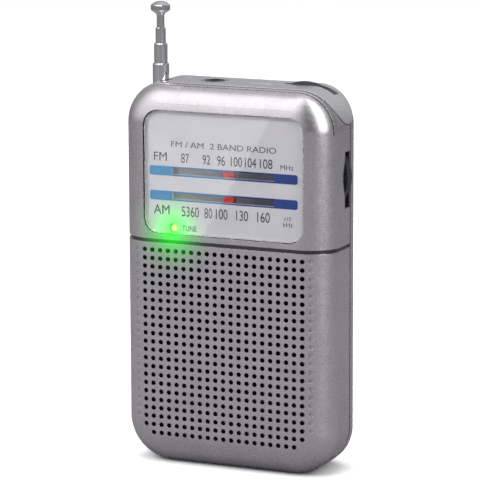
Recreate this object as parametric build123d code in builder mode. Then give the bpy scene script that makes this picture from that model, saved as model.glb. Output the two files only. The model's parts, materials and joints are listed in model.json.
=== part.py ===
"""Two-band transistor pocket radio, built as separate pieces in one frame.

Frame: +X to the radio's right as seen from the front, +Y towards its back, +Z up.  The origin is the
centre of the flat under-side.  "Depth" means distance behind the flat front face.
"""

import os
from math import acos, cos, pi, radians, sin, sqrt, tan

from build123d import *

os.makedirs("parts", exist_ok=True)

# ---------------------------------------------------------------- driving sizes, mm
WIDTH = 69.2
HEIGHT = 118.0
DEPTH = 26.5
SEAM = 17.0                      # depth of the joint between front and back shells
TOP_CORNER = 12.5
BOTTOM_CORNER = 14.0
FRONT_ROUND_IN = 10.4            # how far the front edge rounding reaches inwards
FRONT_ROUND_DEPTH = 7.8          # and how far it reaches backwards
CREASE_ANGLE = 80.0              # the rounding stops short of 90 degrees, leaving a soft crease
BACK_SIDE_ROUND = 8.6
BACK_TOP_ROUND = 3.8
BACK_BOTTOM_ROUND = 5.0
SIDE_WALL = 2.2
TOP_WALL = 3.0
FRONT_WALL = 2.0
BACK_WALL = 2.0

PANEL_SKIN = 1.2                 # top panel
PANEL_MID_DEPTH = 16.3
PANEL_HALF_DEPTH = 8.9
PANEL_DROP = 10.9
PANEL_GAP = 0.3
PANEL_FRONT_GAP = 0.8            # wider in front, so that it opens into a dark wedge on the shoulders
BROW_FRONT = 5.5                 # fine groove that runs over the top in front of the panel
BROW_BACK = 6.0
BROW_BOTTOM = 105.0
PARTING_HALF = 0.35              # half the width of the groove along the joint of the shells

PITCH = 2.6                      # grille
HOLE_RADIUS = 0.75
GRILLE_COLUMNS = 21
GRILLE_FULL_ROWS = 22
GRILLE_BOTTOM = 10.14
DIMPLE_DEPTH = 0.7

WAIST = 70.2                     # groove between dial half and grille half
WAIST_HEIGHT = 1.2
WAIST_DEPTH = 0.5

WINDOW_WIDTH = 52.6
WINDOW_HEIGHT = 38.0
WINDOW_BOTTOM = 72.4
WINDOW_CORNER = 4.9
LENS_GAP = 0.3
LENS_FRONT = 0.25
LENS_BACK = 2.1
DIAL_FRONT = 2.2
DIAL_BACK = 3.2
LEDGE = 1.8
RIM_WALL = 2.0
RIM_BACK = 5.6
LEDGE_BACK = 4.6
SLOT_LEFT = -17.4
SLOT_RIGHT = 16.3
SLOT_HEIGHT = 2.1
FM_SLOT = 91.75
AM_SLOT = 84.1
BAR_LEFT = -24.8
BAR_RIGHT = 23.9
BAR_HEIGHT = 2.9
BAR_CORNER = 0.7

SPEAKER_Z = 47.0
SPEAKER_RADIUS = 22.8
MAGNET_RADIUS = 10.5

MODULE = 0.5                     # tuning drive
PRESSURE_ANGLE = 20.0
BACKLASH = 0.14
TUNE_Z = 91.2
TUNE_X = 23.5
TUNE_RADIUS = 12.0
TUNE_TEETH = 32
GEAR_TEETH = 56
PINION_TEETH = 34
GEAR_X = TUNE_X - MODULE * (TUNE_TEETH + GEAR_TEETH) / 2
POINTER_X = 0.7
POINTER_WIDTH = 3.5

VOLUME_X = 19.2
VOLUME_Z = 106.3
VOLUME_RADIUS = 12.6

BOARD_FRONT = 22.2
BOARD_BACK = 23.2

JACK_X = -9.4
JACK_DEPTH = 15.9
JACK_RADIUS = 1.8
JACK_LENGTH = 12.0

LED_X = -17.0
LED_Z = 74.1

ANTENNA_X = -25.7
ANTENNA_DEPTH = 12.0
TUBE_RADII = (2.54, 2.07, 1.57, 1.165)
TUBE_TOPS = (123.0, 129.1, 133.9, 137.7)
TUBE_LENGTHS = (70.5, 68.5, 67.0, 66.0)
TUBE_WALL = 0.3
RUNNING = 0.05

BRACKET_BOTTOM = 99.0
BRACKET_TOP = 104.0

SWITCH_Z = 91.7
SWITCH_TRAVEL = 3.5

CASE_SCREWS = ((-28.5, 40.5), (28.5, 40.5), (0.5, 111.8))
BOARD_SCREWS = ((-24.0, 58.0), (25.0, 58.0), (-15.0, 104.0))
SCREW_HEAD_DEPTH = 19.5
PILLAR_FRONT = 3.0               # front pillars start inside the curved front wall

FERRITE_Z = 68.0
FERRITE_DEPTH = 16.0

DOOR_TOP = 36.3
DOOR_DEPTH = 19.5
DOOR_GAP = 0.15
LIP_FRONT = 24.6                 # lip on the door's top edge, which slips behind the back shell
LIP_BACK = 25.3
LIP_RISE = 2.0
LIP_HALF_WIDTH = 6.0
CELL_RADIUS = 7.1
CELL_DEPTH = 17.1
LOWER_CELL_Z = 12.4
UPPER_CELL_Z = 27.0
BAY_HALF_WIDTH = 28.2
BAY_WALL = 1.1
BAY_FRONT = 8.7
BAY_TOP = 34.6
UPPER_CONTACT = 27.8              # distance of each cell's nub end from the middle
LOWER_CONTACT = 25.8
SPRING_CONTACT = 27.8
SPRING_TURNS = 3
SPRING_WIRE = 0.3                # radius of the wire
SPRING_RADIUS = 3.8              # widest turn, at the contact plate
SPRING_TAPER = 0.5               # each turn is this much smaller than the last
SPRING_END_GAP = 0.02
SPRING_TIE_HALF = 0.25           # half the thickness of the bar that joins the turns

HALF = WIDTH / 2
EPS = 0.01


def y_at(depth):
    """Row-frame Y of a plane that lies `depth` behind the front face."""
    return depth - DEPTH / 2


def level(depth):
    """Sketch plane at a depth: local x is +X, local y is +Z, and its normal points forwards."""
    return Plane.XZ.offset(-y_at(depth))


def slab(x0, x1, depth0, depth1, z0, z1, mode=Mode.ADD):
    """A box given by its limits, in the part being built."""
    size = (x1 - x0, depth1 - depth0, z1 - z0)
    with Locations(((x0 + x1) / 2, (y_at(depth0) + y_at(depth1)) / 2, (z0 + z1) / 2)):
        Box(*size, mode=mode)


def disc(x, z, depth0, depth1, radius, mode=Mode.ADD):
    """A cylinder along Y between two depths, in the part being built."""
    with BuildSketch(level(depth1)) as face:
        with Locations((x, z)):
            Circle(radius)
    extrude(face.sketch, amount=depth1 - depth0, mode=mode)


def post(x, depth, z0, z1, radius, mode=Mode.ADD):
    """An upright cylinder between two heights, in the part being built."""
    with BuildSketch(Plane.XY.offset(z0)) as face:
        with Locations((x, y_at(depth))):
            Circle(radius)
    extrude(face.sketch, amount=z1 - z0, mode=mode)


# ---------------------------------------------------------------- case outline
def case_outline(depth, side, top, bottom):
    """Front-view outline of the case at a depth, drawn inwards by the given insets."""
    half = HALF - side
    low = bottom
    high = HEIGHT - top
    upper = max(TOP_CORNER - side, 1.6)
    lower = max(BOTTOM_CORNER - side, 1.6)
    with BuildSketch(level(depth)) as outline:
        with BuildLine():
            Line((-half + lower, low), (half - lower, low))
            RadiusArc((half - lower, low), (half, low + lower), -lower)
            Line((half, low + lower), (half, high - upper))
            RadiusArc((half, high - upper), (half - upper, high), -upper)
            Line((half - upper, high), (-half + upper, high))
            RadiusArc((-half + upper, high), (-half, high - upper), -upper)
            Line((-half, high - upper), (-half, low + lower))
            RadiusArc((-half, low + lower), (-half + lower, low), -lower)
        make_face()
    return outline.sketch


def round_drop(depth, radius, flat_depth):
    """Inset of a quarter-round back edge at a depth."""
    start = flat_depth - radius
    if depth <= start:
        return 0.0
    return radius - sqrt(max(radius**2 - (depth - start) ** 2, 0.0))


def case_front(side, top, bottom, face, mode=Mode.ADD):
    """Front half of the case, inset by a wall, from its face back to the seam."""
    last = radians(CREASE_ANGLE)
    steps = 7
    sections = []
    for index in range(steps + 1):
        angle = last * index / steps
        depth = face + (FRONT_ROUND_DEPTH - face) * (1 - cos(angle)) / (1 - cos(last))
        curl = 1 - sin(angle) / sin(last)
        insets = [wall + (FRONT_ROUND_IN - wall) * curl for wall in (side, top, bottom)]
        sections.append(case_outline(depth, *insets))
    loft(sections, mode=mode)
    extrude(case_outline(SEAM, side, top, bottom), amount=SEAM - FRONT_ROUND_DEPTH, mode=mode)


def case_back(side, top, bottom, wall, mode=Mode.ADD):
    """Back half of the case, inset by a wall, from the seam back to its rear face."""
    rear = DEPTH - wall
    side_round = BACK_SIDE_ROUND - wall
    start = rear - side_round
    sections = []
    for angle in (0, 20, 38, 53, 66, 78, 90):
        depth = start + side_round * sin(radians(angle))
        sections.append(
            case_outline(
                depth,
                side + side_round * (1 - cos(radians(angle))),
                top + round_drop(depth, BACK_TOP_ROUND - wall, rear),
                bottom + round_drop(depth, BACK_BOTTOM_ROUND - wall, rear),
            )
        )
    loft(sections, mode=mode)
    extrude(case_outline(start, side, top, bottom), amount=start - SEAM, mode=mode)


def panel_zone(front_gap, back_gap, mode):
    """Side-view ellipse, run across the case, that bounds the top panel, or its pocket."""
    middle = PANEL_MID_DEPTH + (back_gap - front_gap) / 2
    with BuildSketch(Plane.YZ.offset(-HALF - 5)) as side_view:
        with Locations((y_at(middle), HEIGHT)):
            Ellipse(PANEL_HALF_DEPTH + (front_gap + back_gap) / 2, PANEL_DROP + back_gap)
    extrude(side_view.sketch, amount=WIDTH + 10, mode=mode)


with BuildPart() as case_solid:
    case_front(0, 0, 0, 0)
    case_back(0, 0, 0, 0)

with BuildPart() as case_under_panel:
    case_front(PANEL_SKIN, PANEL_SKIN, PANEL_SKIN, PANEL_SKIN)
    case_back(PANEL_SKIN, PANEL_SKIN, PANEL_SKIN, PANEL_SKIN)

with BuildPart() as panel_pocket:
    add(case_solid.part)
    add(case_under_panel.part, mode=Mode.SUBTRACT)
    panel_zone(PANEL_FRONT_GAP, PANEL_GAP, Mode.INTERSECT)

with BuildPart() as waist_core:
    case_front(WAIST_DEPTH, WAIST_DEPTH, WAIST_DEPTH, WAIST_DEPTH)

with BuildPart() as waist_ring:
    slab(-HALF - 1, HALF + 1, -1, SEAM, WAIST - WAIST_HEIGHT / 2, WAIST + WAIST_HEIGHT / 2)
    add(waist_core.part, mode=Mode.SUBTRACT)

with BuildPart() as brow_ring:
    slab(-HALF - 1, HALF + 1, BROW_FRONT, BROW_BACK, BROW_BOTTOM, HEIGHT + 1)
    add(waist_core.part, mode=Mode.SUBTRACT)

with BuildPart() as parting_ring:
    slab(-HALF - 1, HALF + 1, SEAM - PARTING_HALF, SEAM + PARTING_HALF, -1, HEIGHT + 1)
    extrude(
        case_outline(SEAM + 1, WAIST_DEPTH, WAIST_DEPTH, WAIST_DEPTH), amount=2, mode=Mode.SUBTRACT
    )

with BuildPart() as cavity:
    case_front(SIDE_WALL, TOP_WALL, FRONT_WALL, FRONT_WALL)
    case_back(SIDE_WALL, TOP_WALL, BACK_WALL, BACK_WALL)


def tapered_disc(x, z, depth0, depth1, radius0, radius1, mode=Mode.ADD):
    """A cone along Y between two depths, in the part being built."""
    ends = []
    for depth, radius in ((depth0, radius0), (depth1, radius1)):
        with BuildSketch(level(depth)) as end:
            with Locations((x, z)):
                Circle(radius)
        ends.append(end.sketch)
    loft(ends, mode=mode)


def turned(profile, z, mode=Mode.ADD):
    """A ring about the Y axis at height z, from a profile of (radius, depth) corners."""
    with BuildSketch(Plane.XY.offset(z)) as section:
        with BuildLine():
            Polyline(*[(radius, y_at(depth)) for radius, depth in profile], close=True)
        make_face()
    revolve(section.sketch, axis=Axis((0, 0, z), (0, 1, 0)), mode=mode)


def window_outline(depth, inset):
    """Rounded rectangle of the dial window at a depth, drawn inwards by an inset."""
    with BuildSketch(level(depth)) as outline:
        with Locations((0, WINDOW_BOTTOM + WINDOW_HEIGHT / 2)):
            RectangleRounded(
                WINDOW_WIDTH - 2 * inset, WINDOW_HEIGHT - 2 * inset, WINDOW_CORNER - inset
            )
    return outline.sketch


def window_block(depth0, depth1, inset, mode=Mode.ADD):
    """The window outline run between two depths, in the part being built."""
    extrude(window_outline(depth1, inset), amount=depth1 - depth0, mode=mode)


def finish(piece, label):
    """Name a finished piece and write it out."""
    piece.part.label = label
    export_step(piece.part, f"parts/{label}.step")


# ---------------------------------------------------------------- case
TUNE_SLOT_BOTTOM = 81.9
TUNE_SLOT_TOP = 99.1
TUNE_SLOT_FRONT = 12.6
VOLUME_SLOT_FRONT = 16.6
VOLUME_SLOT_BACK = 20.2
ROW_MIDDLE = GRILLE_BOTTOM + PITCH * (GRILLE_FULL_ROWS + 1) / 2

with BuildPart() as front_shell:
    add(case_solid.part)
    slab(-HALF - 1, HALF + 1, -1, SEAM, -1, HEIGHT + 1, Mode.INTERSECT)
    add(cavity.part, mode=Mode.SUBTRACT)
    # rim, ledge and opening of the dial window
    window_block(1.0, RIM_BACK, -RIM_WALL)
    window_block(-1, RIM_BACK, LEDGE, Mode.SUBTRACT)
    window_block(-1, DIAL_BACK, 0, Mode.SUBTRACT)
    window_block(LEDGE_BACK, RIM_BACK, 0, Mode.SUBTRACT)
    disc(LED_X, LED_Z, DIAL_BACK - EPS, RIM_BACK, 1.75, Mode.SUBTRACT)
    # speaker seat and screw pillars
    disc(0, SPEAKER_Z, FRONT_WALL - 0.2, 3.6, SPEAKER_RADIUS + 1.6)
    disc(0, SPEAKER_Z, FRONT_WALL, 4.0, SPEAKER_RADIUS + 0.3, Mode.SUBTRACT)
    for x, z in CASE_SCREWS[:2]:
        disc(x, z, PILLAR_FRONT, SEAM, 2.6)
    disc(*CASE_SCREWS[2], RIM_BACK, SEAM, 2.2)
    slab(CASE_SCREWS[2][0] - 1, CASE_SCREWS[2][0] + 1, RIM_BACK, SEAM, CASE_SCREWS[2][1], HEIGHT - 2)
    for x, z in CASE_SCREWS:
        disc(x, z, 10.0, SEAM, 1.02, Mode.SUBTRACT)
    # speaker holes, and the blind ones where the face starts to curve
    with BuildSketch(level(4.0)) as holes:
        with Locations((0, ROW_MIDDLE)):
            with GridLocations(PITCH, PITCH, GRILLE_COLUMNS, GRILLE_FULL_ROWS):
                Circle(HOLE_RADIUS)
        with Locations((0, GRILLE_BOTTOM)):
            with GridLocations(PITCH, PITCH, GRILLE_COLUMNS - 2, 1):
                Circle(HOLE_RADIUS)
    extrude(holes.sketch, amount=6.0, mode=Mode.SUBTRACT)
    with BuildSketch(level(0.75 + DIMPLE_DEPTH)) as dimples:
        with Locations((0, ROW_MIDDLE + PITCH / 2)):
            with GridLocations(PITCH * (GRILLE_COLUMNS + 1), PITCH, 2, GRILLE_FULL_ROWS - 1):
                Circle(HOLE_RADIUS)
    extrude(dimples.sketch, amount=4.0, mode=Mode.SUBTRACT)
    add(waist_ring.part, mode=Mode.SUBTRACT)
    add(brow_ring.part, mode=Mode.SUBTRACT)
    add(parting_ring.part, mode=Mode.SUBTRACT)
    add(panel_pocket.part, mode=Mode.SUBTRACT)
    # tuning wheel: slot open to the seam, and a finger scoop in front of it
    slab(30, HALF + 1, TUNE_SLOT_FRONT, SEAM + 1, TUNE_SLOT_BOTTOM, TUNE_SLOT_TOP, Mode.SUBTRACT)
    tapered_disc(
        TUNE_X, TUNE_Z, 11.2, TUNE_SLOT_FRONT + EPS, 10.9, TUNE_RADIUS + 0.4, Mode.SUBTRACT
    )
    disc(TUNE_X, TUNE_Z, TUNE_SLOT_FRONT, SEAM + 1, TUNE_RADIUS + 0.4, Mode.SUBTRACT)
    disc(VOLUME_X, VOLUME_Z, VOLUME_SLOT_FRONT, VOLUME_SLOT_BACK, VOLUME_RADIUS + 0.5, Mode.SUBTRACT)
    post(ANTENNA_X, ANTENNA_DEPTH, 106, HEIGHT + 1, 2.75, Mode.SUBTRACT)
    post(ANTENNA_X, ANTENNA_DEPTH, HEIGHT - 2.4, HEIGHT + 1, 3.7, Mode.SUBTRACT)
    post(JACK_X, JACK_DEPTH, HEIGHT - 5, HEIGHT + 1, 4.3, Mode.SUBTRACT)
    # band switch slot and the sockets of the pointer rail
    slab(-HALF - 1, -30, 13.8, 15.8, SWITCH_Z - 3.9, SWITCH_Z + 3.9, Mode.SUBTRACT)
    with BuildSketch(Plane.YZ.offset(-27.5)) as rail_hole:
        with Locations((y_at(4.5), 106.0)):
            Circle(0.61)
    extrude(rail_hole.sketch, amount=55.0, mode=Mode.SUBTRACT)
finish(front_shell, "front_shell")

with BuildPart() as back_shell:
    add(case_solid.part)
    slab(-HALF - 1, HALF + 1, SEAM, DEPTH + 1, -1, HEIGHT + 1, Mode.INTERSECT)
    add(cavity.part, mode=Mode.SUBTRACT)
    add(parting_ring.part, mode=Mode.SUBTRACT)
    add(panel_pocket.part, mode=Mode.SUBTRACT)
    slab(-HALF - 1, HALF + 1, DOOR_DEPTH, DEPTH + 1, -1, DOOR_TOP, Mode.SUBTRACT)
    # battery bay, joined to the side strips by two webs
    bay_outer = BAY_HALF_WIDTH + BAY_WALL
    bay_roof = HEIGHT - BAY_TOP
    extrude(case_outline(19.4, HALF - bay_outer, bay_roof - BAY_WALL, 2.15), amount=19.4 - BAY_FRONT)
    slab(-bay_outer, bay_outer, BAY_FRONT, 19.4, UPPER_CELL_Z - 10, BAY_TOP + BAY_WALL)
    slab(-HALF + 13, HALF - 13, SEAM, 19.4, 1.0, 3.0)
    for side in (-1, 1):
        edges = sorted((side * (bay_outer - 0.2), side * (HALF - SIDE_WALL + 0.2)))
        slab(*edges, SEAM + 0.05, 18.6, 14.0, BAY_TOP + BAY_WALL)
    bay_room = case_outline(DEPTH, HALF - BAY_HALF_WIDTH, bay_roof, 2.15 + BAY_WALL)
    extrude(bay_room, amount=DEPTH - BAY_FRONT - BAY_WALL, mode=Mode.SUBTRACT)
    bay_floor = BAY_FRONT + BAY_WALL
    slab(-BAY_HALF_WIDTH, BAY_HALF_WIDTH, bay_floor, 19.5, UPPER_CELL_Z - 10, BAY_TOP, Mode.SUBTRACT)
    slab(-bay_outer, -LOWER_CONTACT - 0.4, CELL_DEPTH - 5, 19.4, LOWER_CELL_Z - 3, LOWER_CELL_Z + 5)
    # screw pillars and board stand-offs
    for x, z in CASE_SCREWS:
        disc(x, z, SEAM, 24.9, 3.1)
        disc(x, z, SEAM - 1, DEPTH, 1.2, Mode.SUBTRACT)
        disc(x, z, SCREW_HEAD_DEPTH, DEPTH + 1, 2.2, Mode.SUBTRACT)
    slab(
        -LIP_HALF_WIDTH - 0.3, LIP_HALF_WIDTH + 0.3, LIP_FRONT - 0.5, LIP_BACK + 0.1,
        DOOR_TOP - 0.1, DOOR_TOP + LIP_RISE + 0.3, Mode.SUBTRACT,
    )
    for x, z in BOARD_SCREWS:
        disc(x, z, BOARD_BACK, 24.9, 2.2)
        disc(x, z, BOARD_BACK - 1, 25.0, 0.92, Mode.SUBTRACT)
    disc(VOLUME_X, VOLUME_Z, VOLUME_SLOT_FRONT, VOLUME_SLOT_BACK, VOLUME_RADIUS + 0.5, Mode.SUBTRACT)
    post(JACK_X, JACK_DEPTH, HEIGHT - 5, HEIGHT + 1, 4.3, Mode.SUBTRACT)
finish(back_shell, "back_shell")

with BuildPart() as top_panel:
    add(case_solid.part)
    add(case_under_panel.part, mode=Mode.SUBTRACT)
    panel_zone(0, 0, Mode.INTERSECT)
    post(ANTENNA_X, ANTENNA_DEPTH, 100, HEIGHT + 1, 3.6, Mode.SUBTRACT)
    post(JACK_X, JACK_DEPTH, HEIGHT - 5, HEIGHT + 1, 4.3, Mode.SUBTRACT)
    slab(12.9, 29.5, VOLUME_SLOT_FRONT, VOLUME_SLOT_BACK, 105, HEIGHT + 1, Mode.SUBTRACT)
    disc(VOLUME_X, VOLUME_Z, VOLUME_SLOT_FRONT, VOLUME_SLOT_BACK, VOLUME_RADIUS + 0.3, Mode.SUBTRACT)
    # engraved volume wedge and headphone sign
    with BuildSketch(Plane.XY.offset(HEIGHT - 0.3)) as wedge:
        with BuildLine():
            Polyline(
                (2.4, y_at(14.6)), (9.9, y_at(13.4)), (9.9, y_at(15.4)), (2.4, y_at(14.9)), close=True
            )
        make_face()
    extrude(wedge.sketch, amount=1.0, mode=Mode.SUBTRACT)
    with BuildSketch(Plane.XY.offset(HEIGHT - 0.3)) as headphones:
        with Locations((-17.6, y_at(16.8))):
            Circle(1.9)
            Circle(1.5, mode=Mode.SUBTRACT)
        with Locations((-17.6, y_at(16.8) - 1.3)):
            Rectangle(4.4, 2.6, mode=Mode.SUBTRACT)
        for shift in (-1.7, 1.7):
            with Locations((-17.6 + shift, y_at(16.8) - 0.5)):
                Rectangle(0.9, 1.6)
    extrude(headphones.sketch, amount=1.0, mode=Mode.SUBTRACT)
finish(top_panel, "top_panel")

with BuildPart() as battery_door:
    add(case_solid.part)
    add(cavity.part, mode=Mode.SUBTRACT)
    door_front = DOOR_DEPTH + DOOR_GAP
    door_high = DOOR_TOP - DOOR_GAP
    slab(-HALF - 1, HALF + 1, door_front, DEPTH + 1, -1, door_high, Mode.INTERSECT)
    slab(-LIP_HALF_WIDTH, LIP_HALF_WIDTH, LIP_FRONT, LIP_BACK, door_high - 1, DOOR_TOP + LIP_RISE)
    for z in (26.0, 28.2, 30.4):
        slab(-9, 9, DEPTH - 0.4, DEPTH + 1, z, z + 1.0, Mode.SUBTRACT)
finish(battery_door, "battery_door")

# ---------------------------------------------------------------- dial
with BuildPart() as dial_lens:
    window_block(LENS_FRONT, LENS_BACK, LENS_GAP)
    chamfer(dial_lens.faces().sort_by(Axis.Y)[0].edges(), 0.25)
finish(dial_lens, "dial_lens")

with BuildPart() as dial_plate:
    window_block(DIAL_FRONT, DIAL_BACK, LENS_GAP)
    for slot in (FM_SLOT, AM_SLOT):
        low = slot - SLOT_HEIGHT / 2
        slab(SLOT_LEFT, SLOT_RIGHT, DIAL_FRONT - 1, DIAL_BACK + 1, low, low + SLOT_HEIGHT, Mode.SUBTRACT)
    disc(LED_X, LED_Z, DIAL_FRONT - 1, DIAL_BACK + 1, 1.7, Mode.SUBTRACT)
finish(dial_plate, "dial_plate")

with BuildPart() as scale_bars:
    for slot, drop in ((FM_SLOT, 1.5), (AM_SLOT, 1.45)):
        bar_low = slot - drop
        slot_low = slot - SLOT_HEIGHT / 2
        with BuildSketch(level(DIAL_FRONT)) as bar:
            with Locations(((BAR_LEFT + BAR_RIGHT) / 2, bar_low + BAR_HEIGHT / 2)):
                RectangleRounded(BAR_RIGHT - BAR_LEFT, BAR_HEIGHT, BAR_CORNER)
        extrude(bar.sketch, amount=DIAL_FRONT - LENS_BACK - 0.02)
        slab(SLOT_LEFT, SLOT_RIGHT, LENS_BACK, DIAL_FRONT, slot_low, slot_low + SLOT_HEIGHT, Mode.SUBTRACT)
finish(scale_bars, "scale_bars")

BACKING_TOP = 98.5
with BuildPart() as dial_backing:
    slab(-26, 26, LEDGE_BACK, 5.4, 79.5, BACKING_TOP)
finish(dial_backing, "dial_backing")

RAIL_Z = 106.0
RAIL_DEPTH = 4.5
RAIL_RADIUS = 0.6
with BuildPart() as pointer_rail:
    with BuildSketch(Plane.YZ.offset(-27.5)) as rail_end:
        with Locations((y_at(RAIL_DEPTH), RAIL_Z)):
            Circle(RAIL_RADIUS)
    extrude(rail_end.sketch, amount=55.0)
finish(pointer_rail, "pointer_rail")

POINTER_FRONT = 3.5
POINTER_BACK = 4.3
RACK_FRONT = 6.0
RACK_BACK = 7.2
with BuildPart() as dial_pointer:
    left = POINTER_X - POINTER_WIDTH / 2
    right = POINTER_X + POINTER_WIDTH / 2
    slab(left, right, POINTER_FRONT, POINTER_BACK, 82.6, 107.2)
    slab(left - 1, right + 1, POINTER_FRONT, 5.5, 104.7, 107.3)
    slab(left - 1, right + 1, POINTER_FRONT, RACK_FRONT, 101.1, 102.7)
    with BuildSketch(Plane.YZ.offset(left - 2)) as eye:
        with Locations((y_at(RAIL_DEPTH), RAIL_Z)):
            Circle(RAIL_RADIUS + RUNNING)
    extrude(eye.sketch, amount=POINTER_WIDTH + 4, mode=Mode.SUBTRACT)
finish(dial_pointer, "dial_pointer")


# ---------------------------------------------------------------- tuning drive
def involute(radius, base):
    """Polar angle of an involute of a base circle, at a radius."""
    slope = acos(min(base / radius, 1.0))
    return tan(slope) - slope


def gear_outline(x, z, depth, teeth, first):
    """Involute gear outline at a depth; `first` is the direction of its first tooth, in degrees."""
    pitch_radius = MODULE * teeth / 2
    base = pitch_radius * cos(radians(PRESSURE_ANGLE))
    tip = pitch_radius + 0.9 * MODULE
    root = pitch_radius - 1.2 * MODULE
    half = pi / (2 * teeth) - BACKLASH / (4 * pitch_radius) + involute(pitch_radius, base)
    start = max(base, root)
    flank = [start + (tip - start) * step / 4 for step in range(5)]
    points = []
    for tooth in range(teeth):
        centre = radians(first) + 2 * pi * tooth / teeth
        rising = [(radius, centre - half + involute(radius, base)) for radius in flank]
        falling = [(radius, centre + half - involute(radius, base)) for radius in reversed(flank)]
        feet = [(root, centre - half), (root, centre + half)]
        points += [feet[0], *rising, *falling, feet[1]]
    with BuildSketch(level(depth)) as outline:
        with Locations((x, z)):
            Polygon(*[(r * cos(a), r * sin(a)) for r, a in points], align=None)
    return outline.sketch


def ribbed_outline(x, z, depth, radius, ribs, rib_height):
    """Outline of a finger wheel with fine ribs round its rim."""
    step = 2 * pi / ribs
    points = []
    for rib in range(ribs):
        angle = rib * step
        points.append((radius * cos(angle), radius * sin(angle)))
        angle += step / 2
        points.append(((radius - rib_height) * cos(angle), (radius - rib_height) * sin(angle)))
    with BuildSketch(level(depth)) as outline:
        with Locations((x, z)):
            Polygon(*points, align=None)
    return outline.sketch


GEAR_FRONT = 7.6
GEAR_BACK = 8.8
SHAFT_RADIUS = 1.5
with BuildPart() as drive_gear:
    extrude(gear_outline(GEAR_X, TUNE_Z, GEAR_BACK, GEAR_TEETH, 0), amount=GEAR_BACK - GEAR_FRONT)
    extrude(gear_outline(GEAR_X, TUNE_Z, RACK_BACK, PINION_TEETH, 90), amount=RACK_BACK - RACK_FRONT)
    disc(GEAR_X, TUNE_Z, RACK_BACK - 0.2, GEAR_FRONT + 0.2, 6.0)
    disc(GEAR_X, TUNE_Z, 5, 10, SHAFT_RADIUS + EPS, Mode.SUBTRACT)
    for turn in range(6):
        hole_x = GEAR_X + 10.4 * cos(radians(60 * turn))
        hole_z = TUNE_Z + 10.4 * sin(radians(60 * turn))
        disc(hole_x, hole_z, GEAR_FRONT - 1, GEAR_BACK + 1, 1.6, Mode.SUBTRACT)
finish(drive_gear, "drive_gear")

CAPACITOR_FRONT = 13.2
with BuildPart() as tuning_shaft:
    disc(GEAR_X, TUNE_Z, 5.8, CAPACITOR_FRONT + 3.4, SHAFT_RADIUS)
finish(tuning_shaft, "tuning_shaft")

with BuildPart() as tuning_capacitor:
    slab(GEAR_X - 6.5, GEAR_X + 6.5, CAPACITOR_FRONT, BOARD_FRONT, TUNE_Z - 6.5, TUNE_Z + 6.5)
    chamfer(tuning_capacitor.edges().filter_by(Axis.Y), 0.8)
    disc(GEAR_X, TUNE_Z, 12.4, CAPACITOR_FRONT, 3.2)
    disc(GEAR_X, TUNE_Z, 12, CAPACITOR_FRONT + 3.6, SHAFT_RADIUS + RUNNING, Mode.SUBTRACT)
finish(tuning_capacitor, "tuning_capacitor")

TOOTH = pi * MODULE
RACK_PITCH_Z = TUNE_Z + MODULE * PINION_TEETH / 2
RACK_TEETH_LEFT = 10
RACK_TEETH_RIGHT = 10
with BuildPart() as pointer_rack:
    lean = tan(radians(PRESSURE_ANGLE))
    pitch_half = TOOTH / 4 - BACKLASH / 4
    tip_z = RACK_PITCH_Z - 0.9 * MODULE
    root_z = RACK_PITCH_Z + 1.2 * MODULE
    tip_half = pitch_half - 0.9 * MODULE * lean
    root_half = pitch_half + 1.2 * MODULE * lean
    outline_points = []
    for tooth in range(-RACK_TEETH_LEFT, RACK_TEETH_RIGHT):
        centre = GEAR_X + (tooth + 0.5) * TOOTH
        outline_points += [(centre - root_half, root_z), (centre - tip_half, tip_z)]
        outline_points += [(centre + tip_half, tip_z), (centre + root_half, root_z)]
    rack_left = outline_points[0][0] - 0.5
    rack_right = outline_points[-1][0] + 0.5
    outline_points += [(rack_right, root_z), (rack_right, 102.7), (rack_left, 102.7), (rack_left, root_z)]
    with BuildSketch(level(RACK_BACK)) as rack_outline:
        Polygon(*outline_points, align=None)
    extrude(rack_outline.sketch, amount=RACK_BACK - RACK_FRONT)
finish(pointer_rack, "pointer_rack")

PIN_RADIUS = 1.2
WHEEL_FRONT = 13.0
WHEEL_BACK = 16.4
with BuildPart() as tuning_wheel:
    extrude(
        ribbed_outline(TUNE_X, TUNE_Z, WHEEL_BACK, TUNE_RADIUS, 110, 0.3),
        amount=WHEEL_BACK - WHEEL_FRONT,
    )
    disc(TUNE_X, TUNE_Z, WHEEL_FRONT - 1, WHEEL_FRONT + 0.7, TUNE_RADIUS - 2.2, Mode.SUBTRACT)
    disc(TUNE_X, TUNE_Z, WHEEL_BACK - 0.7, WHEEL_BACK + 1, TUNE_RADIUS - 2.2, Mode.SUBTRACT)
    disc(TUNE_X, TUNE_Z, GEAR_BACK, WHEEL_BACK, 3.0)
    disc(TUNE_X, TUNE_Z, GEAR_FRONT, WHEEL_BACK + 1, PIN_RADIUS + RUNNING, Mode.SUBTRACT)
finish(tuning_wheel, "tuning_wheel")

with BuildPart() as tuning_pinion:
    half_tooth = 180 / TUNE_TEETH
    extrude(
        gear_outline(TUNE_X, TUNE_Z, GEAR_BACK, TUNE_TEETH, half_tooth),
        amount=GEAR_BACK - GEAR_FRONT,
    )
    disc(TUNE_X, TUNE_Z, GEAR_FRONT - 1, GEAR_BACK + 1, PIN_RADIUS + RUNNING, Mode.SUBTRACT)
finish(tuning_pinion, "tuning_pinion")

with BuildPart() as tuning_post:
    disc(TUNE_X, TUNE_Z, WHEEL_BACK + 0.15, BOARD_FRONT, 2.0)
    disc(TUNE_X, TUNE_Z, 6.9, WHEEL_BACK + 0.15, PIN_RADIUS)
finish(tuning_post, "tuning_post")

with BuildPart() as tuning_clip:
    disc(TUNE_X, TUNE_Z, 7.0, 7.45, 2.2)
    disc(TUNE_X, TUNE_Z, 6, 8, PIN_RADIUS, Mode.SUBTRACT)
    slab(TUNE_X, TUNE_X + 3, 6.5, 8, TUNE_Z - 0.7, TUNE_Z + 0.7, Mode.SUBTRACT)
finish(tuning_clip, "tuning_clip")

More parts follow.
